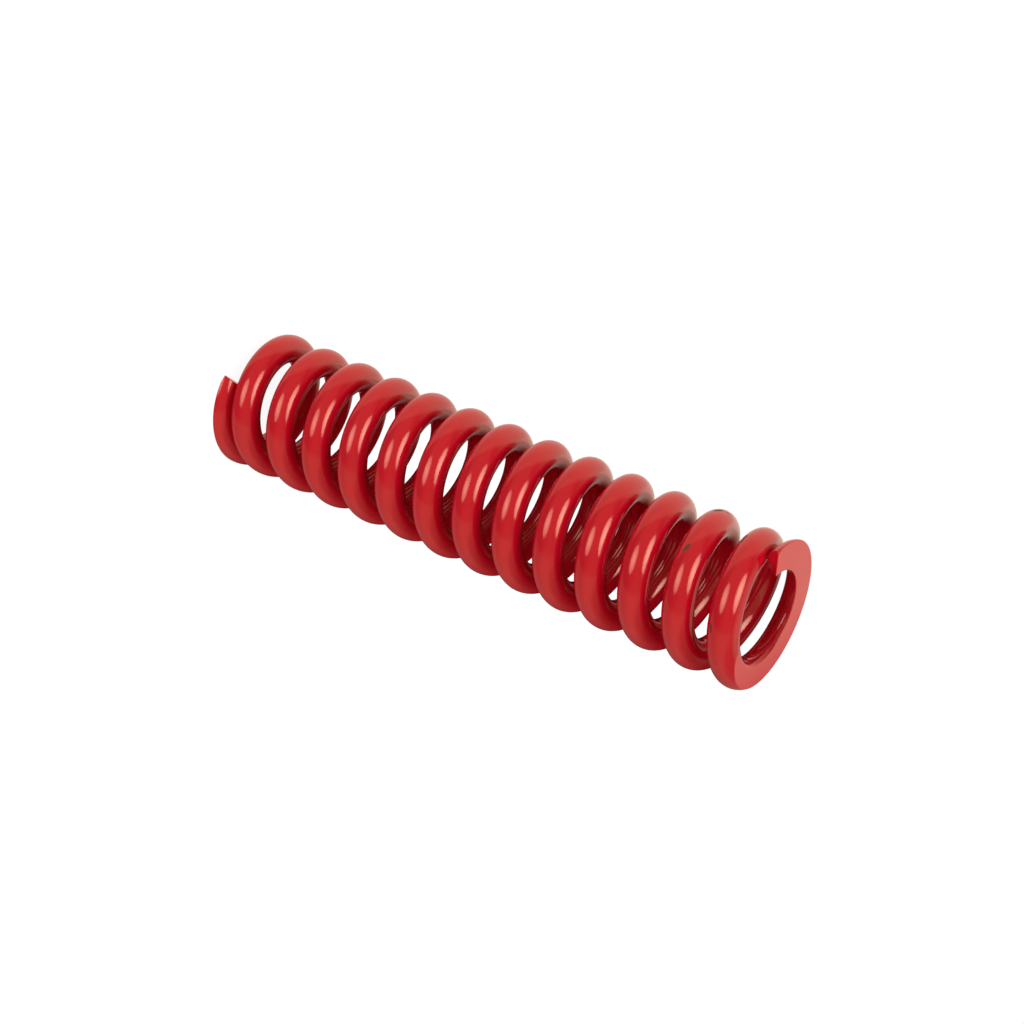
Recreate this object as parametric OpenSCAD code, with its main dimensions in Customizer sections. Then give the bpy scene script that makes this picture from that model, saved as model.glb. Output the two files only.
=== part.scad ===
// Adjustment spring: a compression spring coiled right-handed from one round wire.
// Both ends are closed and ground flat. It stands on its lower ground face, with its axis along +Z.

/* [Wire and coil] */
// Diameter of the round wire
wire_d = 10; // [8:0.5:12]
// Outside diameter over the coils
outer_d = 50; // [42:1:80]
// Free length between the two ground faces
free_length = 207; // [160:0.5:300]
// Turns of wire from one tip to the other
total_turns = 13.88; // [9:0.02:16]
// Direction of the lower tip about the axis, in degrees from +X
lower_tip_angle = 266; // [0:1:359]

/* [Closed and ground ends] */
// Rise per turn of the closed wire next to each tip
closed_pitch = 7.4; // [5:0.1:9]
// Turns that the pitch takes to open
opening_turns = 0.3; // [0.1:0.05:0.4]
// Wire left at each tip after grinding
tip_thickness = 3.8; // [2:0.2:7]
// Gap between each tip and the coil beside it
tip_gap = 0.25; // [0.2:0.05:1.5]
// How far each tip springs outward from the coils
tip_flare = 0.5; // [0:0.1:2]
// Turns over which a tip springs outward
flare_turns = 0.5; // [0.2:0.05:1]
// Slant of each tip's cut, in degrees, with the wire longest at the ground face
cut_slant = 17; // [0:1:25]
// Bevel round each cut tip
tip_bevel = 0.4; // [0.1:0.1:1]
// Width of the relief on the outer corner of each tip's ground face
tip_relief = 1.3; // [0.2:0.1:2]
// Length of that relief along the wire
relief_length = 4; // [2:0.5:6]

/* [Fineness] */
// Flat sides round the wire
wire_sides = 14; // [8:2:16]
// Wire sections in one turn
turn_steps = 28; // [16:2:28]

/* [Hidden] */

wire_r = wire_d / 2;
coil_r = (outer_d - wire_d) / 2;
turn_length = 2 * PI * coil_r;

// Height of the wire's centre line above the ground face, at the tip
tip_height = tip_thickness - wire_r;

// Rise of the turn that starts at a tip, which brings the next coil past the tip with its gap
mean_lead = atan(free_length / total_turns / turn_length);
first_rise = wire_d / cos(mean_lead) + tip_gap;

// The two end turns rise by first_rise, and the turns between share the rest of the free length
active_pitch = (free_length - 2 * tip_height - 2 * first_rise) / (total_turns - 2);

// Turns from a tip to the middle of the stretch on which the pitch opens
closed_turns = (active_pitch - first_rise) / (active_pitch - closed_pitch);

// Turns from a tip over which the sections lean into its slanted cut, one wire diameter long
lean_turns = wire_d / turn_length;

// Turns along the wire at which its sections stand, with a close pair at each bevelled tip
bevel_turns = tip_bevel / turn_length;
body_steps = ceil(total_turns * turn_steps);
body_turns = total_turns - 2 * bevel_turns;
stations = [
    0,
    for (k = [0 : body_steps]) bevel_turns + body_turns * k / body_steps,
    total_turns
];

// Share of the way, 0 to 1, that the pitch has opened at a number of turns from the tip
function opened_share(turns) =
    min(1, max(0, (turns - closed_turns) / opening_turns + 0.5));

// The pitch opens along a smooth step from closed_pitch to active_pitch
function pitch_from_tip(turns) =
    let (x = opened_share(turns))
    closed_pitch + (active_pitch - closed_pitch) * x * x * (3 - 2 * x);

// Height of the centre line, the sum of that pitch from the tip onward
function height_from_tip(turns) =
    let (
        x = opened_share(turns),
        opened_turns = opening_turns * (x * x * x - x * x * x * x / 2),
        past_turns = max(0, turns - closed_turns - opening_turns / 2)
    )
    tip_height + closed_pitch * turns + (active_pitch - closed_pitch) * (opened_turns + past_turns);

// Both ends are alike, so the upper half is the lower half counted back from the upper tip
function tip_distance(turns) = min(turns, total_turns - turns);

function centre_height(turns) =
    let (height = height_from_tip(tip_distance(turns)))
    turns < total_turns / 2 ? height : free_length - height;

function centre_radius(turns) =
    let (flared = max(0, 1 - tip_distance(turns) / flare_turns))
    coil_r + tip_flare * flared * flared;

// How far a section leans per millimetre from the ground face
function section_lean(turns) = tan(cut_slant) * max(0, 1 - tip_distance(turns) / lean_turns);

// One section of the wire, a ring of points square to the centre line except for its lean at the tips
function wire_section(turns, radius) =
    let (
        angle = lower_tip_angle + 360 * turns,
        lead = atan(pitch_from_tip(tip_distance(turns)) / turn_length),
        outward = [cos(angle), sin(angle), 0],
        forward = [-sin(angle) * cos(lead), cos(angle) * cos(lead), sin(lead)],
        upward = [sin(angle) * sin(lead), -cos(angle) * sin(lead), cos(lead)],
        centre = centre_radius(turns) * outward + [0, 0, centre_height(turns)],
        face_height = turns < total_turns / 2 ? 0 : free_length
    )
    [
        for (k = [0 : wire_sides - 1])
        let (
            a = 360 * k / wire_sides,
            square_point = centre + radius * (cos(a) * outward + sin(a) * upward)
        )
        square_point + section_lean(turns) * (square_point[2] - face_height) * forward
    ];

function section_radius(turns) =
    tip_distance(turns) < bevel_turns / 2 ? wire_r - tip_bevel : wire_r;

// The round wire along its whole helix, before grinding
module coiled_wire() {
    last = len(stations) - 1;
    points = [
        for (turns = stations)
        each wire_section(turns, section_radius(turns))
    ];
    first_cap = [for (k = [0 : wire_sides - 1]) k];
    last_cap = [for (k = [wire_sides - 1 : -1 : 0]) last * wire_sides + k];
    skin = [
        for (s = [0 : last - 1], k = [0 : wire_sides - 1])
        let (
            next = (k + 1) % wire_sides,
            a = s * wire_sides + k,
            b = s * wire_sides + next,
            c = a + wire_sides,
            d = b + wire_sides
        )
        each [[a, c, b], [b, c, d]]
    ];
    polyhedron(points, concat([first_cap, last_cap], skin));
}

// Everything between the two ground faces
module grinding_slab() {
    slab_w = 2 * outer_d;
    translate([-slab_w / 2, -slab_w / 2, 0])
    cube([slab_w, slab_w, free_length]);
}

// The wedge taken off the outer corner of the ground face at a tip
module tip_relief_wedge(turns) {
    angle = lower_tip_angle + 360 * turns;
    inward_sign = turns < total_turns / 2 ? 1 : -1;
    face_height = turns < total_turns / 2 ? 0 : free_length;
    face_edge_r = centre_radius(turns) + sqrt(wire_r * wire_r - tip_height * tip_height);
    outward = [cos(angle), sin(angle), 0];
    corner = face_edge_r * outward + [0, 0, face_height];
    facet = [
        corner - tip_relief * outward,
        corner + inward_sign * relief_length * [-sin(angle), cos(angle), 0],
        corner + inward_sign * tip_relief / 2 * [0, 0, 1]
    ];
    middle = (facet[0] + facet[1] + facet[2]) / 3;
    hull()
    polyhedron(
        concat([for (p = facet) middle + 2 * (p - middle)], [corner + 2 * (corner - middle)]),
        [[0, 1, 2], [0, 3, 1], [1, 3, 2], [2, 3, 0]]
    );
}

module spring() {
    color("firebrick")
    difference() {
        intersection() {
            coiled_wire();
            grinding_slab();
        }
        tip_relief_wedge(0);
        tip_relief_wedge(total_turns);
    }
}

spring();
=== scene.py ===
# %% [markdown]
# # A red adjustment spring
# The real object is one steel wire, 10 mm thick, coiled into a compression spring and painted red.
# It has a single piece, so this lesson is about doing one piece well: a wire swept along a helix
# with flat ground ends, a glossy enamel, a few paint chips, and the light that shows the gloss.
#
# The model that was made for building the spring is loaded first. It fixes the size and the place
# of everything that follows, and its box gives the spring's free length.

# %% Load the frame
import math

import bmesh
import bpy
import numpy as np
from mathutils import Matrix, Vector
from mathutils.bvhtree import BVHTree


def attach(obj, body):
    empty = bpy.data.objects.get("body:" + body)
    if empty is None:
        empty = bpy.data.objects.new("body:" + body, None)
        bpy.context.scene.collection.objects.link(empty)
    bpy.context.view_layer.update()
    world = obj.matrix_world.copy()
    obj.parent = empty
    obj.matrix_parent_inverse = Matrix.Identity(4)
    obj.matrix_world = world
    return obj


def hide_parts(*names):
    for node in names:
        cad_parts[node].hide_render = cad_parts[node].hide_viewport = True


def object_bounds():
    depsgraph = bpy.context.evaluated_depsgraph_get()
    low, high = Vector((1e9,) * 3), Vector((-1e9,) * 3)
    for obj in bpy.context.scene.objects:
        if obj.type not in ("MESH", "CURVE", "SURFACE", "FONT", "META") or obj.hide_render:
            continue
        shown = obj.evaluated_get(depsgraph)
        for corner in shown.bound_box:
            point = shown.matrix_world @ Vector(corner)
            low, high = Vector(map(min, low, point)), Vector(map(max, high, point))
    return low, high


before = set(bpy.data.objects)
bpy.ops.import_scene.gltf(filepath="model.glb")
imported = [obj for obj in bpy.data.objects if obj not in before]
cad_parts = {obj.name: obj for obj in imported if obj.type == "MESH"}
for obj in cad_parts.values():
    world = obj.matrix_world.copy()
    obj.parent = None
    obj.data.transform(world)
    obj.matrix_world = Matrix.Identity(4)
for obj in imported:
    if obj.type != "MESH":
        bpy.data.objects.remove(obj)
cad_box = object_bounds()
cad_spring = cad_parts["spring"]
print("frame box in mm:", [[round(1000 * x, 2) for x in corner] for corner in cad_box])

# %% [markdown]
# ## The sizes of the spring
# A coil spring is given by its wire, its outside diameter, its free length and its number of turns.
# The free length is read from the frame, so that the two models can't drift apart.
# The rest are the real sizes, in metres.

# %% Sizes
MM = 0.001
wire_radius = 5 * MM
outer_diameter = 50 * MM
free_length = (cad_box[1] - cad_box[0]).z
total_turns = 13.88
lower_tip_angle = math.radians(266)
coil_radius = outer_diameter / 2 - wire_radius
turn_length = 2 * math.pi * coil_radius

closed_pitch = 7.4 * MM
opening_turns = 0.3
tip_thickness = 3.8 * MM
tip_gap = 0.25 * MM
tip_flare = 0.5 * MM
flare_turns = 0.5
cut_slant = math.radians(17)
tip_relief = 1.3 * MM
relief_length = 4 * MM
print(f"free length {free_length / MM:.1f} mm, wire {2 * wire_radius / MM:.1f} mm, {total_turns} turns")

# %% [markdown]
# ## The line that the wire follows
# Both ends of the spring are closed: the last turn lies against its neighbour, and the pitch opens
# from there to the even pitch of the middle. The wire could be a curve with a bevel, but a bevelled
# curve can't be ground flat without a boolean, which leaves ragged shading. Here the line is worked
# out as a function of the turns counted along the wire, and the skin is laid on it ring by ring.

# %% Centre line
tip_height = tip_thickness - wire_radius
mean_lead = math.atan(free_length / total_turns / turn_length)
first_rise = 2 * wire_radius / math.cos(mean_lead) + tip_gap
active_pitch = (free_length - 2 * tip_height - 2 * first_rise) / (total_turns - 2)
closed_turns = (active_pitch - first_rise) / (active_pitch - closed_pitch)


def from_tip(turns):
    """Turns to the nearer tip."""
    return np.minimum(turns, total_turns - turns)


def opened(turns):
    """How far the pitch has opened, from 0 at a tip to 1 in the middle."""
    return np.clip((from_tip(turns) - closed_turns) / opening_turns + 0.5, 0, 1)


def pitch(turns):
    x = opened(turns)
    return closed_pitch + (active_pitch - closed_pitch) * x * x * (3 - 2 * x)


def centre_height(turns):
    """The height of the wire's middle: the pitch summed up from the nearer tip."""
    x, distance = opened(turns), from_tip(turns)
    opening = opening_turns * (x**3 - x**4 / 2)
    past = np.maximum(0, distance - closed_turns - opening_turns / 2)
    height = tip_height + closed_pitch * distance + (active_pitch - closed_pitch) * (opening + past)
    return np.where(turns < total_turns / 2, height, free_length - height)


def wire_axes(turns):
    """The wire's middle, with the outward, upward and forward directions of its section."""
    angle = lower_tip_angle + 2 * np.pi * turns
    lead = np.arctan(pitch(turns) / turn_length)
    flare = np.maximum(0, 1 - from_tip(turns) / flare_turns)
    radius = coil_radius + tip_flare * flare * flare
    cos, sin, flat = np.cos(angle), np.sin(angle), np.zeros_like(angle)
    outward = np.stack([cos, sin, flat], -1)
    upward = np.stack([sin * np.sin(lead), -cos * np.sin(lead), np.cos(lead)], -1)
    middle = radius[..., None] * outward + np.stack([flat, flat, centre_height(turns)], -1)
    return middle, outward, upward, np.cross(upward, outward)


print(f"pitch {active_pitch / MM:.2f} mm in the middle, closed over {closed_turns:.2f} turns at each end")

# %% [markdown]
# ## The section of the wire
# In the middle the section is a circle. Near an end the grinding wheel has cut it flat, and the wire
# thins to less than half at the tip. Paint never leaves a knife edge, so the corner between the round
# and the flat gets a small radius. One rule gives all of this: go along half of the outline from the
# middle of the flat, round the small corner, and up the large arc. The points are shared out by
# length, with extra weight on the corner, so a ring changes smoothly from a circle to a D shape.

# %% Wire section
ring_points = 56
edge_radius = 0.25 * MM
corner_weight = 6


def wire_section(turns, inset):
    """Points, normals and a mark for the ground flat, for each station: arrays of stations by points."""
    upper = (turns > total_turns / 2)[:, None]
    lead = np.arctan(pitch(turns) / turn_length)
    height = centre_height(turns)
    above_flat = np.where(upper[:, 0], free_length - height, height) / np.cos(lead)
    r = (wire_radius - inset)[:, None]
    e = (edge_radius - inset)[:, None]
    h = np.minimum(above_flat - inset, wire_radius - inset)[:, None]
    half_flat = np.sqrt(np.maximum(0, (r - e) ** 2 - (h - e) ** 2))
    arc_start = np.arctan2(-(h - e), half_flat)
    arc_start = np.where(half_flat > 0, arc_start, -np.pi / 2)
    corner = corner_weight * e * (arc_start + np.pi / 2)
    half_way = half_flat + corner + r * (np.pi / 2 - arc_start)

    point = np.arange(ring_points)[None, :]
    point = np.where(upper, (point + ring_points // 2) % ring_points, point)
    mirrored = point > ring_points // 2
    share = np.where(mirrored, ring_points - point, point) / (ring_points // 2)
    gone = share * half_way
    on_flat = gone < half_flat
    on_arc = gone >= half_flat + corner
    corner_angle = -np.pi / 2 + np.clip(gone - half_flat, 0, corner) / (corner_weight * e)
    arc_angle = arc_start + np.maximum(0, gone - half_flat - corner) / r
    angle = np.where(on_arc, arc_angle, corner_angle)
    x = np.where(on_flat, gone, np.where(on_arc, r * np.cos(angle), half_flat + e * np.cos(angle)))
    y = np.where(on_arc, r * np.sin(angle), e - h + e * np.sin(angle))
    flatness = np.where(on_arc, 0, (arc_start - angle) / np.maximum(arc_start + np.pi / 2, 1e-9))
    side = np.where(mirrored, -1, 1) * np.where(upper, -1, 1)
    turn_over = np.where(upper, -1, 1)
    normal_x = np.where(on_flat, 0, np.cos(angle))
    return side * x, turn_over * y, side * normal_x, turn_over * np.sin(angle), flatness, on_flat


tip_width = np.ptp(wire_section(np.zeros(1), np.zeros(1))[0])
print(f"the wire is {tip_width / MM:.1f} mm wide and {tip_thickness / MM:.1f} mm thick at its tips")

# %% [markdown]
# ## Sweep the skin
# A ring of 56 points stands about every 1.3 mm, so a coil stays round even in a close view. The rings
# are closer near the tips, where there is more to show. The last few draw in to round the cut edge,
# and one flat face closes the cut. The normals are known exactly from the rule, so they are stored
# with the mesh, and the gloss runs without ripples.

# %% Stations along the wire
rings_per_turn = 96
tip_rounding = 0.22 * MM
tip_rings = 5
quarter = np.radians(90) * (1 - np.arange(tip_rings) / tip_rings)
tip_turns = tip_rounding * (1 - np.sin(quarter)) / turn_length
tip_inset = tip_rounding * (1 - np.cos(quarter))
fine_length = 6 * MM
fine_rings = 16
fine_turns = np.linspace(tip_rounding, fine_length, fine_rings, endpoint=False) / turn_length
even_turns = np.linspace(
    fine_length / turn_length,
    total_turns - fine_length / turn_length,
    round(rings_per_turn * total_turns),
)
long_turns = np.concatenate([fine_turns, even_turns, (total_turns - fine_turns)[::-1]])
turns = np.concatenate([tip_turns, long_turns, (total_turns - tip_turns)[::-1]])
inset = np.concatenate([tip_inset, 0 * long_turns, tip_inset[::-1]])
lean = np.concatenate([-quarter, 0 * long_turns, quarter[::-1]])
ring_count = len(turns)
print(f"{ring_count} rings of {ring_points} points")

# %% Points and normals
middle, outward, upward, forward = (part[:, None, :] for part in wire_axes(turns))
x, y, normal_x, normal_y, flatness, on_flat = (part[..., None] for part in wire_section(turns, inset))
points = middle + x * outward + y * upward
straight_up = np.array([0, 0, 1.0])
normal_up = (1 - flatness) * upward + flatness * straight_up
normals = normal_x * outward + normal_y * normal_up
normals /= np.linalg.norm(normals, axis=-1, keepdims=True)
print(f"highest point {points[..., 2].max() / MM:.2f} mm, lowest {points[..., 2].min() / MM:.2f} mm")

# %% [markdown]
# ## The cut tips
# The wire was cut off at a slant, so it is longest along the ground face. The rings near a tip lean
# into that slant: the further a point lies from the ground face, the further it is set back along the
# wire. Leaning every ring a little less than the one before keeps the quads even.

# %% Slanted cuts
upper_half = turns > total_turns / 2
face_height = np.where(upper_half, free_length, 0)[:, None, None]
leaning = np.maximum(0, 1 - from_tip(turns) * turn_length / (2 * wire_radius))
slant = math.tan(cut_slant) * leaning[:, None, None]
points += slant * (points[..., 2:] - face_height) * forward
cut_direction = forward - slant * upward[..., 2:] * upward
cut_direction /= np.linalg.norm(cut_direction, axis=-1, keepdims=True)
lean = lean[:, None, None]
normals = np.cos(lean) * normals + np.sin(lean) * cut_direction
normals /= np.linalg.norm(normals, axis=-1, keepdims=True)
print(f"the cuts lean by {math.degrees(cut_slant):.0f} degrees")

# %% [markdown]
# The outer corner of each tip is also taken off where it meets the ground face. Three points span that
# small facet: one on the face, one along its edge and one on the outside of the wire. Points in front
# of the facet's plane move back onto it, each within its own ring, and take the facet's normal.

# %% Relieved corners
facet_softness = 0.12 * MM
facet_turns = 0.1
for tip in (0.0, total_turns):
    centre, out, _, _ = wire_axes(np.array(tip))
    inward = 1 if tip == 0 else -1
    edge_at = np.hypot(centre[0], centre[1]) + math.sqrt(wire_radius**2 - tip_height**2)
    tip_corner = edge_at * out + np.array([0, 0, 0 if tip == 0 else free_length])
    on_face = tip_corner - tip_relief * out
    along_edge = tip_corner + inward * relief_length * np.array([-out[1], out[0], 0])
    on_outside = tip_corner + inward * tip_relief / 2 * straight_up
    facet_normal = np.cross(along_edge - on_face, on_outside - on_face)
    facet_normal *= np.sign(facet_normal @ (tip_corner - on_face)) / np.linalg.norm(facet_normal)
    near_tip = (np.abs(turns - tip) < facet_turns)[:, None, None]
    over = np.where(near_tip, np.maximum(0, (points - on_face) @ facet_normal[:, None]), 0)
    within = facet_normal - cut_direction * (cut_direction @ facet_normal)[..., None]
    points -= over * within / (within @ facet_normal)[..., None]
    facing = np.clip(over / facet_softness, 0, 1)
    normals = (1 - facing) * normals + facing * facet_normal
    normals /= np.linalg.norm(normals, axis=-1, keepdims=True)
    on_flat &= over == 0
    print(f"facet at turn {tip}: {(over > 0).sum()} points moved, {over.max() / MM:.2f} mm at most")

# %% [markdown]
# ## Join the rings
# Four neighbouring points make a quad, and one face with many sides closes each cut. The mesh is filled
# from two lists in one call, which is much quicker than adding its faces one by one.

# %% Faces
ring, place = np.meshgrid(np.arange(ring_count - 1), np.arange(ring_points), indexing="ij")
next_place = (place + 1) % ring_points
corners = [(ring, place), (ring + 1, place), (ring + 1, next_place), (ring, next_place)]
quads = np.stack([r * ring_points + p for r, p in corners], -1).reshape(-1, 4)
first_cap = list(range(ring_points))
last_cap = [(ring_count - 1) * ring_points + p for p in reversed(range(ring_points))]

mesh = bpy.data.meshes.new("spring_wire")
mesh.from_pydata(points.reshape(-1, 3).tolist(), [], quads.tolist() + [first_cap, last_cap])
spring = bpy.data.objects.new("spring_wire", mesh)
bpy.context.scene.collection.objects.link(spring)
print(f"{len(mesh.vertices)} points, {len(quads)} quads and 2 cut faces")

# %% [markdown]
# The shading normals are given corner by corner, because the flat cut faces share their rim with the
# rounded edge and need their own direction there.

# %% Shading normals
flat_normals = normals.reshape(-1, 3)
cap_normals = [-cut_direction[0, 0], cut_direction[-1, 0]]
corner_normals = np.concatenate(
    [flat_normals[quads].reshape(-1, 3)] + [np.tile(n, (ring_points, 1)) for n in cap_normals]
)
mesh.shade_smooth()
mesh.normals_split_custom_set(corner_normals.tolist())
print(len(corner_normals), "shading normals")

# %% [markdown]
# ## Check the skin against the frame
# The frame's spring is the same wire with fewer sides, so its corners should lie on the fine skin.
# A tree of the fine mesh answers that for every corner in a moment.

# %% Distance from the frame
fine_skin = BVHTree.FromPolygons([v.co for v in mesh.vertices], [tuple(p.vertices) for p in mesh.polygons])
gaps = [fine_skin.find_nearest(v.co)[3] for v in cad_spring.data.vertices]
print(f"frame corners to the skin: {np.mean(gaps) / MM:.3f} mm on average, {max(gaps) / MM:.3f} mm at most")

# %% [markdown]
# ## Unroll the skin for baking
# When the model is exported, its finish is painted onto a flat picture of the skin. An automatic
# unwrap would cut a long helix into hundreds of scraps. The wire unrolls by itself: one turn is a
# strip four times as long as it is wide, so the turns are laid in two columns of seven, and the two
# cut faces go into the room that the last, shorter strip leaves.

# %% Bake layout
strip_rings = 101
columns, rows = 2, 7
strip_length, strip_width = 0.47, 0.125
margin = 0.01
strip = ring // strip_rings


def strip_corner(number):
    """The lower left corner of a strip's cell, with its margin."""
    return margin + (number % columns) / columns, margin + (number // columns) / rows


def strip_place(ring_number, place_number):
    left, low = strip_corner(strip)
    u = left + strip_length * (ring_number - strip * strip_rings) / strip_rings
    return np.stack([u, low + strip_width * place_number / ring_points], -1)


unrolled = [(ring, place), (ring + 1, place), (ring + 1, place + 1), (ring, place + 1)]
quad_uv = np.stack([strip_place(r, p) for r, p in unrolled], axis=2).reshape(-1, 2)


def cap_place(ring_number, order, shift):
    """A cut face laid flat at the strips' own scale, at the far end of the last cell."""
    scale = strip_length / (strip_rings * turn_length / rings_per_turn)
    left, low = strip_corner(columns * rows - 1)
    u = left + strip_length - shift + scale * x[ring_number, order, 0]
    v = low + strip_width / 2 + scale * y[ring_number, order, 0]
    return np.stack([u, v], -1)


cap_width = 0.045
order = np.arange(ring_points)
cap_uv = [cap_place(0, order, 0.5 * cap_width), cap_place(ring_count - 1, order[::-1], 1.5 * cap_width)]
layout = mesh.uv_layers.new(name="OFBake")
layout.data.foreach_set("uv", np.concatenate([quad_uv] + cap_uv).astype(np.float32).ravel())
print(f"layout spans {quad_uv.min(0).round(3)} to {quad_uv.max(0).round(3)}")

# %% [markdown]
# ## Helpers for node trees
# Shader nodes are made with a few repeated lines. The first helper makes one node, sets its options, and
# fills each input with a value or with a link from another node's output. The others make the nodes that
# come up most often, and return the one output that is wanted from them.

# %% Node helper


def add_node(tree, kind, inputs=None, **options):
    node = tree.nodes.new(kind)
    for name, value in options.items():
        setattr(node, name, value)
    for name, value in (inputs or {}).items():
        if isinstance(value, bpy.types.NodeSocket):
            tree.links.new(value, node.inputs[name])
        else:
            node.inputs[name].default_value = value
    return node


def new_group(name, inputs, outputs):
    """An empty shader node group, and its input and output nodes."""
    group = bpy.data.node_groups.new(name, "ShaderNodeTree")
    for label, kind in inputs:
        group.interface.new_socket(label, in_out="INPUT", socket_type=kind)
    for label, kind in outputs:
        group.interface.new_socket(label, in_out="OUTPUT", socket_type=kind)
    return group, group.nodes.new("NodeGroupInput"), group.nodes.new("NodeGroupOutput")


# %% Helpers for common nodes


def math_node(tree, operation, *values):
    """The result of a Math node on numbers or on other outputs."""
    return add_node(tree, "ShaderNodeMath", dict(enumerate(values)), operation=operation).outputs[0]


def vector_node(tree, operation, *values):
    """The result of a Vector Math node, which is a number for some operations."""
    node = add_node(tree, "ShaderNodeVectorMath", dict(enumerate(values)), operation=operation)
    gives_number = operation in {"DOT_PRODUCT", "LENGTH", "DISTANCE"}
    return node.outputs["Value" if gives_number else "Vector"]


def map_range(tree, value, source, target=(0.0, 1.0), smooth=False):
    """A value carried from one range to another, and held at the ends of the second."""
    limits = {"From Min": source[0], "From Max": source[1], "To Min": target[0], "To Max": target[1]}
    curve = "SMOOTHSTEP" if smooth else "LINEAR"
    node = add_node(tree, "ShaderNodeMapRange", {"Value": value, **limits}, interpolation_type=curve)
    return node.outputs["Result"]


def mix_colors(tree, factor, first, second):
    """A blend of two colours, which the Mix node takes at its inputs 6 and 7 and gives at its output 2."""
    inputs = {"Factor": factor, 6: first, 7: second}
    return add_node(tree, "ShaderNodeMix", inputs, data_type="RGBA").outputs[2]


def noise(tree, position, scale, detail):
    """Soft noise between 0 and 1, with its scale counted per metre."""
    inputs = {"Vector": position, "Scale": scale, "Detail": detail}
    return add_node(tree, "ShaderNodeTexNoise", inputs).outputs["Fac"]


# %% [markdown]
# ## Enamel tone
# Enamel is sprayed, so its film is never quite even: broad patches are a little deeper where more
# paint lies, and the gloss changes with them. Both finishes of the spring use this effect, so it is a
# node group that is built once. It gives a colour and a roughness that wander slowly.

# %% Enamel tone group
patch_scale = 55.0
speck_scale = 420.0
speck_share = 0.25
gloss_range = (0.07, 0.17)

tone, tone_in, tone_out = new_group(
    "enamel tone",
    [("Position", "NodeSocketVector"), ("Light Red", "NodeSocketColor"), ("Deep Red", "NodeSocketColor")],
    [("Color", "NodeSocketColor"), ("Roughness", "NodeSocketFloat")],
)
tone_place = tone_in.outputs["Position"]
patches = math_node(tone, "MULTIPLY", noise(tone, tone_place, patch_scale, 3.0), 1 - speck_share)
specks = math_node(tone, "MULTIPLY", noise(tone, tone_place, speck_scale, 2.0), speck_share)
film = math_node(tone, "ADD", patches, specks)
film_color = mix_colors(tone, film, tone_in.outputs["Light Red"], tone_in.outputs["Deep Red"])
tone.links.new(film_color, tone_out.inputs["Color"])
tone.links.new(map_range(tone, film, (0.0, 1.0), gloss_range), tone_out.inputs["Roughness"])
print("enamel tone group:", len(tone.nodes), "nodes")

# %% [markdown]
# ## Orange peel
# Thick gloss paint dries with a faint orange peel, dimples a millimetre or two across and only a few
# thousandths deep. It is far too fine to model, so it is a height for a Bump node. The heights are in
# metres, so that the relief stays true to scale.

# %% Orange peel group
dimple_scale = 480.0
sag_scale = 130.0
sag_share = 3.0

peel, peel_in, peel_out = new_group(
    "orange peel",
    [("Position", "NodeSocketVector"), ("Depth", "NodeSocketFloat")],
    [("Height", "NodeSocketFloat")],
)
peel_place = peel_in.outputs["Position"]
dimples = noise(peel, peel_place, dimple_scale, 1.5)
sags = math_node(peel, "MULTIPLY", noise(peel, peel_place, sag_scale, 1.0), sag_share)
relief = math_node(peel, "MULTIPLY", math_node(peel, "ADD", dimples, sags), peel_in.outputs["Depth"])
peel.links.new(relief, peel_out.inputs["Height"])
print("orange peel group:", len(peel.nodes), "nodes")

# %% [markdown]
# ## Paint chips
# The paint is chipped in a few places near the upper end, where the spring has been knocked. A chip
# is a long spot with a ragged edge that shows brown steel. The group measures how far a point of the
# skin lies from the chip's middle, along it and across it, and roughens that distance with noise. It
# works with squares of lengths, which saves taking roots twice.

# %% Paint chip group
ragged_scale = 900.0
ragged_share = 0.8
chip_rim = (1.25, 1.5)

chip, chip_in, chip_out = new_group(
    "paint chip",
    [
        ("Position", "NodeSocketVector"),
        ("Middle", "NodeSocketVector"),
        ("Along", "NodeSocketVector"),
        ("Half Length", "NodeSocketFloat"),
        ("Half Width", "NodeSocketFloat"),
    ],
    [("Mask", "NodeSocketFloat")],
)


def squared(value):
    return math_node(chip, "MULTIPLY", value, value)


away = vector_node(chip, "SUBTRACT", chip_in.outputs["Position"], chip_in.outputs["Middle"])
away_square = vector_node(chip, "DOT_PRODUCT", away, away)
along_square = squared(vector_node(chip, "DOT_PRODUCT", away, chip_in.outputs["Along"]))
across_square = math_node(chip, "MAXIMUM", math_node(chip, "SUBTRACT", away_square, along_square), 0.0)
long_part = math_node(chip, "DIVIDE", along_square, squared(chip_in.outputs["Half Length"]))
wide_part = math_node(chip, "DIVIDE", across_square, squared(chip_in.outputs["Half Width"]))
reach = math_node(chip, "SQRT", math_node(chip, "ADD", long_part, wide_part))
ragged = noise(chip, chip_in.outputs["Position"], ragged_scale, 3.0)
reach = math_node(chip, "ADD", reach, math_node(chip, "MULTIPLY", ragged, ragged_share))
chip.links.new(map_range(chip, reach, chip_rim, (1.0, 0.0)), chip_out.inputs["Mask"])
print("paint chip group:", len(chip.nodes), "nodes")

# %% [markdown]
# Each chip is placed by the turns along the wire and the angle round it at its two ends, so it always
# lies on the skin. The angle is counted from the outside of the coil towards the upper end.

# %% Where the chips are


def skin_point(turns, angle_deg):
    """A point of the round skin."""
    centre, out, up, _ = wire_axes(np.array(turns))
    angle = math.radians(angle_deg)
    return Vector(centre + wire_radius * (math.cos(angle) * out + math.sin(angle) * up))


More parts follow.
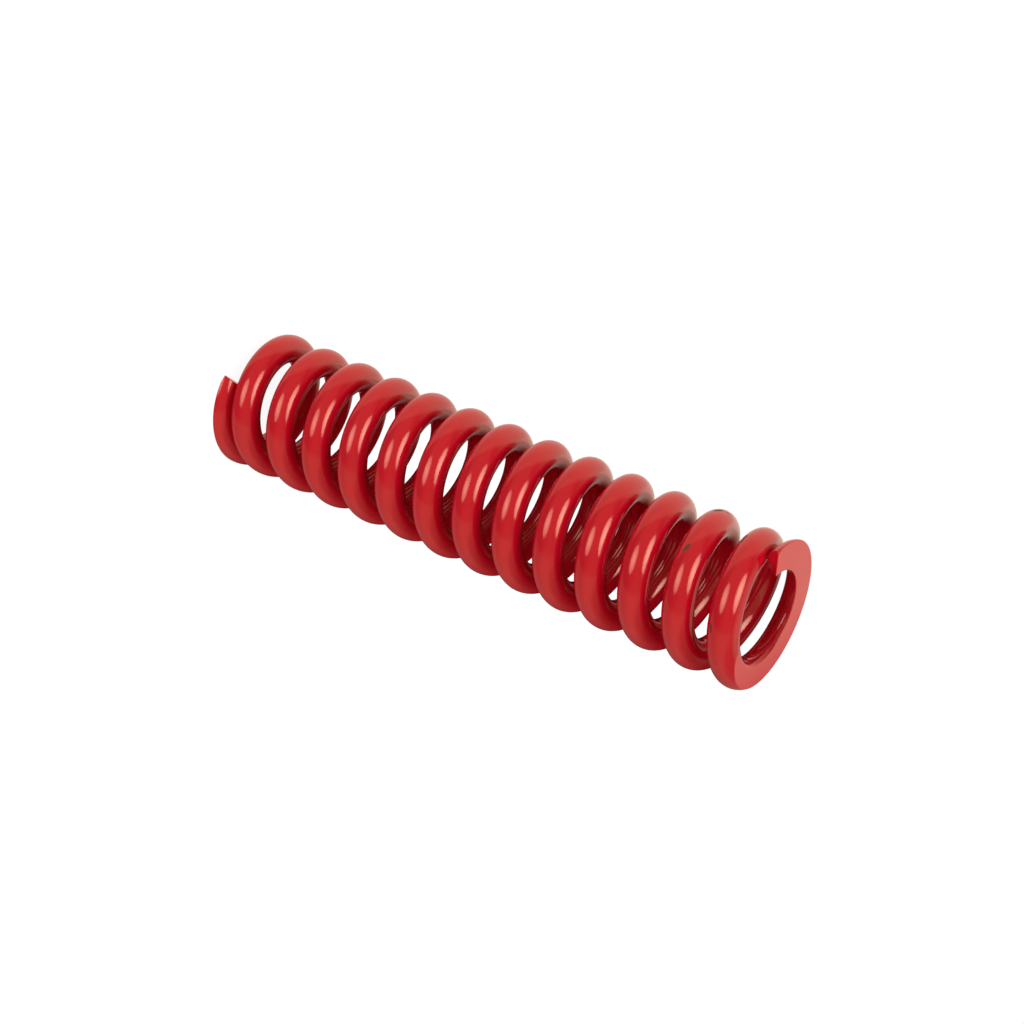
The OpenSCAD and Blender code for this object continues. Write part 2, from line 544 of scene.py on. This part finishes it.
chips = [
    {"ends": [(11.9625, 339), (11.9420, 354)], "width": 1.5 * MM},
    {"ends": [(11.8275, 345), (11.7985, 8)], "width": 1.7 * MM},
    {"ends": [(11.7985, 10), (11.7910, 36)], "width": 0.8 * MM},
    {"ends": [(12.8865, 321), (12.8510, 324)], "width": 0.9 * MM},
    {"ends": [(13.0680, 331), (13.0875, 338)], "width": 0.9 * MM},
    {"ends": [(11.9590, 47), (11.9550, 49)], "width": 0.5 * MM},
]
for spot in chips:
    start, end = (skin_point(*place) for place in spot["ends"])
    spot["middle"] = (start + end) / 2
    spot["along"] = (end - start).normalized()
    spot["length"] = max((end - start).length, spot["width"])
    print(f"chip {spot['length'] / MM:.1f} by {spot['width'] / MM:.1f} mm at {spot['middle'] / MM}")

# %% [markdown]
# ## The coil's enamel
# The finish is a deep red gloss. Red paint looks salmon under the lamps, not white, so the
# reflection seen straight on is tinted, while the reflection at a glancing angle stays white, as on
# any gloss. Those are constants of the shader. The tone, the chips and the relief vary, and come in
# through the groups.
#
# The colour deepens towards the axis: this is painted shade on the insides of the coils, where less
# light reaches. The ground faces are paler: this is a painted sheen for the light that the flat faces
# reflect. That paler red runs out over the first hundredths of a millimetre where the round wire
# leaves the face.

# %% Enamel colours
light_red = (0.55, 0.0022, 0.0150, 1)
deep_red = (0.473, 0.0018, 0.0125, 1)
# painted shade: a darker red for the insides of the coils, where less light reaches
bore_shade_red = (0.39, 0.0012, 0.0100, 1)
# painted sheen: paler reds for the ground faces, standing for the light that the flat faces reflect
ground_sheen_light = (0.71, 0.0045, 0.0150, 1)
ground_sheen_deep = (0.64, 0.0036, 0.0130, 1)
gloss_tint = (0.90, 0.55, 0.365, 1)
enamel_ior = 1.59
peel_depth = 0.006 * MM
print("coils from", light_red[:3], "to", deep_red[:3])

# %% Material helpers


def new_material(name):
    material = bpy.data.materials.new(name)
    material.use_nodes = True
    material.node_tree.nodes.clear()
    return material, material.node_tree


def place_group(tree, group, inputs):
    return add_node(tree, "ShaderNodeGroup", inputs, node_tree=group)


def enamel_tone(tree, position, light, deep):
    """The colour and the roughness of a paint film."""
    node = place_group(tree, tone, {"Position": position, "Light Red": light, "Deep Red": deep})
    return node.outputs["Color"], node.outputs["Roughness"]


def enamel_peel(tree, position):
    """The height of the paint's orange peel."""
    return place_group(tree, peel, {"Position": position, "Depth": peel_depth}).outputs["Height"]


def enamel_shader(tree, color, roughness, height):
    """The gloss paint itself, which both finishes share."""
    bump = add_node(tree, "ShaderNodeBump", {"Height": height, "Distance": 1.0, "Strength": 1.0})
    paint = add_node(
        tree,
        "ShaderNodeBsdfPrincipled",
        {
            "Base Color": color,
            "Roughness": roughness,
            "IOR": enamel_ior,
            "Specular IOR Level": 1.0,
            "Specular Tint": gloss_tint,
            "Normal": bump.outputs["Normal"],
        },
    )
    add_node(tree, "ShaderNodeOutputMaterial", {"Surface": paint.outputs["BSDF"]})


# %% Red of the coils
# painted shade: the red darkens over this range of distance from the axis
bore_shade_range = (coil_radius + 0.2 * wire_radius, coil_radius - 0.6 * wire_radius)
sheen_run_out = 0.08 * MM

coil_enamel, tree = new_material("coil_enamel")
position = add_node(tree, "ShaderNodeTexCoord").outputs["Object"]
coil_color, coil_gloss = enamel_tone(tree, position, light_red, deep_red)
# painted shade: the coils' red deepens towards the axis
axis_distance = vector_node(tree, "LENGTH", vector_node(tree, "MULTIPLY", position, (1, 1, 0)))
coil_color = mix_colors(tree, map_range(tree, axis_distance, bore_shade_range), coil_color, bore_shade_red)

# painted sheen: the paler ground-face red, carried onto the coil's quads right at the faces
face_sheen_color, _ = enamel_tone(tree, position, ground_sheen_light, ground_sheen_deep)
skin_height = add_node(tree, "ShaderNodeSeparateXYZ", {"Vector": position}).outputs["Z"]
from_face = math_node(tree, "MINIMUM", skin_height, math_node(tree, "SUBTRACT", free_length, skin_height))
sheen_at_face = map_range(tree, from_face, (0.0, sheen_run_out), (1.0, 0.0), smooth=True)
coil_color = mix_colors(tree, sheen_at_face, coil_color, face_sheen_color)
print(f"bore red is full {bore_shade_range[1] / MM:.0f} mm from the axis")

# %% [markdown]
# The chips come last. Where a chip lies, brown takes the place of the red, the gloss is gone, and the
# height sinks by the thickness of the paint.

# %% Chips in the coil enamel
chip_brown = (0.10, 0.016, 0.008, 1)
chip_roughness = 0.6
chip_depth = 0.08 * MM

mask = 0.0
for spot in chips:
    one_chip = place_group(
        tree,
        chip,
        {
            "Position": position,
            "Middle": spot["middle"],
            "Along": spot["along"],
            "Half Length": spot["length"] / 2,
            "Half Width": spot["width"] / 2,
        },
    )
    mask = math_node(tree, "MAXIMUM", mask, one_chip.outputs["Mask"])
coil_color = mix_colors(tree, mask, coil_color, chip_brown)
coil_gloss = add_node(tree, "ShaderNodeMix", {"Factor": mask, 2: coil_gloss, 3: chip_roughness}).outputs[0]
sunk = math_node(tree, "MULTIPLY", mask, chip_depth)
enamel_shader(tree, coil_color, coil_gloss, math_node(tree, "SUBTRACT", enamel_peel(tree, position), sunk))
print("coil enamel:", len(tree.nodes), "nodes,", len(chips), "chips")

# %% [markdown]
# ## The ground faces' enamel
# The two end faces were ground flat before painting. The same enamel covers them in its paler red, a
# painted sheen for the light that the flat faces reflect, and the marks of the grinding wheel still
# show through the film as faint lines. A wave across the face, broken up by noise, gives them. The
# node's diagonal bands repeat once in 2 pi of ten times the sum of the coordinates, so its scale is
# worked out from the spacing on the face.

# %% Ground face enamel
mark_spacing = 6.22 * MM
mark_waver = 6.0
mark_depth = 0.0012 * MM

ground_enamel, tree = new_material("ground_face_enamel")
position = add_node(tree, "ShaderNodeTexCoord").outputs["Object"]
# painted sheen: the ground faces' paler red
ground_sheen_color, ground_gloss = enamel_tone(tree, position, ground_sheen_light, ground_sheen_deep)
band_scale = 2 * math.pi / (10 * math.sqrt(2) * mark_spacing)
marks = add_node(
    tree,
    "ShaderNodeTexWave",
    {"Vector": position, "Scale": band_scale, "Distortion": mark_waver, "Detail": 3.0, "Detail Scale": 2.0},
    bands_direction="DIAGONAL",
)
lines = math_node(tree, "MULTIPLY", marks.outputs["Fac"], mark_depth)
enamel_shader(tree, ground_sheen_color, ground_gloss, math_node(tree, "ADD", enamel_peel(tree, position), lines))
print("ground face enamel:", len(tree.nodes), "nodes")

# %% [markdown]
# A quad belongs to a ground face when all its corners lie on the flat.

# %% Give the finishes to the mesh
mesh.materials.append(coil_enamel)
mesh.materials.append(ground_enamel)
is_ground = on_flat.reshape(-1)[quads].all(axis=1)
finish_of_face = np.append(is_ground, [False, False]).astype(np.int32)
mesh.polygons.foreach_set("material_index", finish_of_face)
mesh.update()
print(f"{is_ground.sum()} quads on the ground faces")

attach(spring, "root")
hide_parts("spring")

# %% [markdown]
# ## The camera
# The spring is modelled standing on its lower face, which is how it rests. The picture was taken with
# the spring lying down, so here the camera is rolled about its own axis instead: the upper end then
# points to the right and a little down, as in the picture. The distance, the roll and the focal length
# are those at which the outline of this spring fits the picture's.

# %% Camera
spring_middle = Vector((0, 0, free_length / 2))
view_turn = math.radians(-89.86)
view_rise = math.radians(27.83)
view_roll = math.radians(113.49)
view_distance = 604.9 * MM
middle_left = 5.154 * MM
middle_above = 4.507 * MM
focal_length = 64.431

level_back = Vector((math.cos(view_turn), math.sin(view_turn), 0))
back = math.cos(view_rise) * level_back + Vector((0, 0, math.sin(view_rise)))
level_right = Vector((-math.sin(view_turn), math.cos(view_turn), 0))
level_up = back.cross(level_right)
right = math.cos(view_roll) * level_right + math.sin(view_roll) * level_up
up = math.cos(view_roll) * level_up - math.sin(view_roll) * level_right

camera = bpy.data.objects.new("camera", bpy.data.cameras.new("camera"))
camera.data.lens = focal_length
camera.data.sensor_width = 36
camera.data.clip_start = 0.01
camera_place = spring_middle + view_distance * back + middle_left * right - middle_above * up
camera.matrix_world = Matrix.Translation(camera_place) @ Matrix((right, up, back)).transposed().to_4x4()
bpy.context.scene.collection.objects.link(camera)
bpy.context.scene.camera = camera
print("camera at", [round(c / MM, 1) for c in camera.matrix_world.translation], "mm")


def studio_direction(to_right_deg, upward_deg):
    """A direction in the studio, counted from the way to the camera, as the picture shows right and up."""
    a, b = math.radians(to_right_deg), math.radians(upward_deg)
    return math.sin(a) * math.cos(b) * right + math.sin(b) * up + math.cos(a) * math.cos(b) * back


# %% [markdown]
# ## The floor
# The floor is a pale disc that fades out into the white around it. The camera sees it as white by
# its own glow, and a share of plain diffuse colour keeps the spring's soft shadow. It is hidden from
# the other rays, because the studio's own light stands all round the spring, also below the floor.

# %% Floor
floor_radius = 0.9
fade_start = 0.30
fade_end = 0.80
floor_shade = 0.16
floor_glow = 0.92

floor_mesh = bpy.data.meshes.new("floor")
disc = bmesh.new()
bmesh.ops.create_circle(disc, cap_ends=True, segments=96, radius=floor_radius)
disc.to_mesh(floor_mesh)
disc.free()
floor = bpy.data.objects.new("floor", floor_mesh)
bpy.context.scene.collection.objects.link(floor)
floor.visible_diffuse = False
floor.visible_glossy = False
floor.visible_shadow = False

floor_paint, tree = new_material("floor_white")
place_on_floor = add_node(tree, "ShaderNodeTexCoord").outputs["Object"]
floor_distance = vector_node(tree, "LENGTH", place_on_floor)
fade = map_range(tree, floor_distance, (fade_start, fade_end), smooth=True)
matt = add_node(tree, "ShaderNodeBsdfDiffuse", {"Color": (floor_shade, floor_shade, floor_shade, 1)})
glow = add_node(tree, "ShaderNodeEmission", {"Color": (1, 1, 1, 1), "Strength": floor_glow})
pale = add_node(tree, "ShaderNodeAddShader", {0: matt.outputs[0], 1: glow.outputs[0]})
clear = add_node(tree, "ShaderNodeBsdfTransparent")
faded = add_node(tree, "ShaderNodeMixShader", {0: fade, 1: pale.outputs[0], 2: clear.outputs[0]})
add_node(tree, "ShaderNodeOutputMaterial", {"Surface": faded.outputs[0]})
floor_mesh.materials.append(floor_paint)
print("floor radius", floor_radius, "m")

# %% [markdown]
# ## The studio around the spring
# Gloss is only as good as what it reflects. The picture's spring reflects a white backdrop behind it, a
# white sheet above, a white table below, and a dark room on the camera's side. The world holds these as
# smooth round patches in fixed directions. Most add light to the dark room, and one takes some away.
# The camera itself sees plain white.

# %% World
dark_room = 0.15
room_color = (1.0, 0.975, 0.85, 1)
patches_of_light = [
    {"name": "overhead sheet", "direction": (164, 51), "edge": (64.5, 57.5), "level": 0.36},
    {"name": "backdrop", "direction": (145, 24), "edge": (72, 22), "level": 0.29},
    {"name": "table", "direction": (190, -60), "edge": (82, 74), "level": 0.20},
    {"name": "table in front", "direction": (0, -65), "edge": (65, 25), "level": 0.15},
    {"name": "room in front", "direction": (0, 35), "edge": (60, 30), "level": 0.17},
    {"name": "dim side of the table", "direction": (85, -62), "edge": (38, 8), "level": -0.25},
    {"name": "bright corner on the right", "direction": (85, -18), "edge": (28, 10), "level": 0.42},
    {"name": "card beyond the upper end", "direction": (135.9, -14.8), "edge": (4.4, 1.8), "level": 0.19},
]

world = bpy.data.worlds.new("studio")
world.use_nodes = True
bpy.context.scene.world = world
tree = world.node_tree
tree.nodes.clear()
looking = add_node(tree, "ShaderNodeTexCoord").outputs["Generated"]
level = dark_room
for patch in patches_of_light:
    toward = vector_node(tree, "DOT_PRODUCT", looking, studio_direction(*patch["direction"]))
    rim_and_core = [math.cos(math.radians(angle)) for angle in patch["edge"]]
    patch_level = map_range(tree, toward, rim_and_core, (0.0, patch["level"]), smooth=True)
    level = math_node(tree, "ADD", level, patch_level)
level = math_node(tree, "MAXIMUM", level, 0.0)
studio = add_node(tree, "ShaderNodeBackground", {"Color": room_color, "Strength": level})
white = add_node(tree, "ShaderNodeBackground", {"Color": (1, 1, 1, 1), "Strength": 1.0})
seen = add_node(tree, "ShaderNodeLightPath").outputs["Is Camera Ray"]
both = add_node(tree, "ShaderNodeMixShader", {0: seen, 1: studio.outputs[0], 2: white.outputs[0]})
add_node(tree, "ShaderNodeOutputWorld", {"Surface": both.outputs[0]})
print("world:", [patch["name"] for patch in patches_of_light])

# %% [markdown]
# ## The lamps
# Each coil carries two bright streaks, which are two round softboxes mirrored in the gloss. Their
# places follow from where the streaks lie on the coils: one stands near on the left, one far on the
# right. A softbox is brighter in its middle than at its rim, so its light has a small node tree too.
# The light is a little cool, because the room's own light is warm. The power is worked out from the
# brightness that the softbox shows, and from its area.

# %% Softboxes
softboxes = [
    {"name": "left softbox", "direction": (-40.9, 13.9), "distance": 1.17, "spread": 20, "level": 2.46},
    {"name": "right softbox", "direction": (43.6, 1.0), "distance": 3.0, "spread": 19.8, "level": 3.8},
]
lamp_color = (0.96, 1.0, 1.10)
watts_per_level = 4
middle_share = 1.25
rim_share = 0.62


def hang_lamp(lamp, direction, distance=0.0):
    """Hangs a lamp in a direction of the studio, facing the middle of the spring."""
    holder = bpy.data.objects.new(lamp.name, lamp)
    toward = studio_direction(*direction)
    holder.location = spring_middle + distance * toward
    holder.rotation_mode = "QUATERNION"
    holder.rotation_quaternion = toward.to_track_quat("Z", "Y")
    holder.visible_camera = False
    bpy.context.scene.collection.objects.link(holder)
    return holder


for box in softboxes:
    radius = box["distance"] * math.tan(math.radians(box["spread"]))
    lamp = bpy.data.lights.new(box["name"], "AREA")
    lamp.shape = "DISK"
    lamp.size = 2 * radius
    lamp.energy = watts_per_level * math.pi * radius**2 * box["level"]
    lamp.color = lamp_color
    lamp.use_nodes = True
    tree = lamp.node_tree
    tree.nodes.clear()
    on_lamp = add_node(tree, "ShaderNodeNewGeometry").outputs["Parametric"]
    from_middle = vector_node(tree, "DISTANCE", on_lamp, (0.5, 0.5, 0))
    share = map_range(tree, from_middle, (0.0, 0.5), (middle_share, rim_share), smooth=True)
    light = add_node(tree, "ShaderNodeEmission", {"Strength": share})
    add_node(tree, "ShaderNodeOutputLight", {"Surface": light.outputs[0]})
    hang_lamp(lamp, box["direction"], box["distance"])
    print(f"{box['name']}: {lamp.energy:.1f} W, radius {radius:.2f} m")

# %% [markdown]
# ## The fill
# A room also sends soft light back from everywhere, too weak to see in the gloss. Two very wide suns
# stand for it, one above the picture and one below. They are hidden from glossy rays, so they lift the
# shadows without showing on the enamel.

# %% Fill lamps
fill_lamps = [
    {"name": "fill from above", "direction": (-20, 78), "level": 0.35},
    {"name": "fill from below", "direction": (-20, -60), "level": 0.40},
]
sky_width = math.radians(100)

for fill in fill_lamps:
    lamp = bpy.data.lights.new(fill["name"], "SUN")
    lamp.angle = sky_width
    lamp.energy = math.pi * fill["level"]
    hang_lamp(lamp, fill["direction"]).visible_glossy = False
    print(f"{fill['name']}: {lamp.energy:.2f} W per square metre")

# %% [markdown]
# ## The black card
# Gloss paint shows whatever stands beside it. In the picture the right flanks of the coils are dark,
# and only the last coil, which has nothing beyond it, is pale there. A black card that lies along the
# spring does this: it is a painted shadow, a dark sheet that stands for the shade the spring casts
# on the table beside it. Its plane touches the coils from below as the picture shows them. Only
# reflections see the card, and its edges fade out softly.

# %% Black card
card_sides = (-53 * MM, 34 * MM)
card_ends = (-60 * MM, 218 * MM)
card_fade = 26 * MM

along_axis = Vector((0, 0, 1))
card_up = studio_direction(0, 48.6)
card_up = (card_up - card_up.dot(along_axis) * along_axis).normalized()
card_front = along_axis.cross(card_up)
half_sizes = [(high - low) / 2 for low, high in (card_sides, card_ends)]
side_middle, end_middle = ((low + high) / 2 for low, high in (card_sides, card_ends))

sheet = bpy.data.meshes.new("black card")
half_side, half_end = half_sizes
card_corners = [(a * half_side, b * half_end, 0) for a, b in [(-1, -1), (1, -1), (1, 1), (-1, 1)]]
sheet.from_pydata(card_corners, [], [(0, 1, 2, 3)])
card = bpy.data.objects.new("black card", sheet)
card_axes = Matrix((card_front, along_axis, card_front.cross(along_axis))).transposed()
card_place = side_middle * card_front + end_middle * along_axis - outer_diameter / 2 * card_up
card.matrix_world = Matrix.Translation(card_place) @ card_axes.to_4x4()

shadow_card_paint, tree = new_material("shadow_card_black")
on_card = add_node(tree, "ShaderNodeTexCoord").outputs["Object"]
card_axis = add_node(tree, "ShaderNodeSeparateXYZ", {"Vector": on_card}).outputs
shown = 1.0
for number, half in enumerate(half_sizes):
    from_middle = math_node(tree, "ABSOLUTE", card_axis[number])
    inner = map_range(tree, from_middle, (half, half - card_fade), smooth=True)
    shown = math_node(tree, "MULTIPLY", shown, inner)
clear = add_node(tree, "ShaderNodeBsdfTransparent")
# painted shadow: black where the card stands for the spring's shade on the table
black = add_node(tree, "ShaderNodeBsdfDiffuse", {"Color": (0, 0, 0, 1)})
sheer = add_node(tree, "ShaderNodeMixShader", {0: shown, 1: clear.outputs[0], 2: black.outputs[0]})
add_node(tree, "ShaderNodeOutputMaterial", {"Surface": sheer.outputs[0]})
sheet.materials.append(shadow_card_paint)
card.visible_camera = False
card.visible_diffuse = False
card.visible_shadow = False
bpy.context.scene.collection.objects.link(card)
print(f"black card {2 * half_side / MM:.0f} by {2 * half_end / MM:.0f} mm")

# %% [markdown]
# ## Finish
# The standard view shows colours as they are written.

# %% Finish
bpy.context.scene.view_settings.view_transform = "Standard"
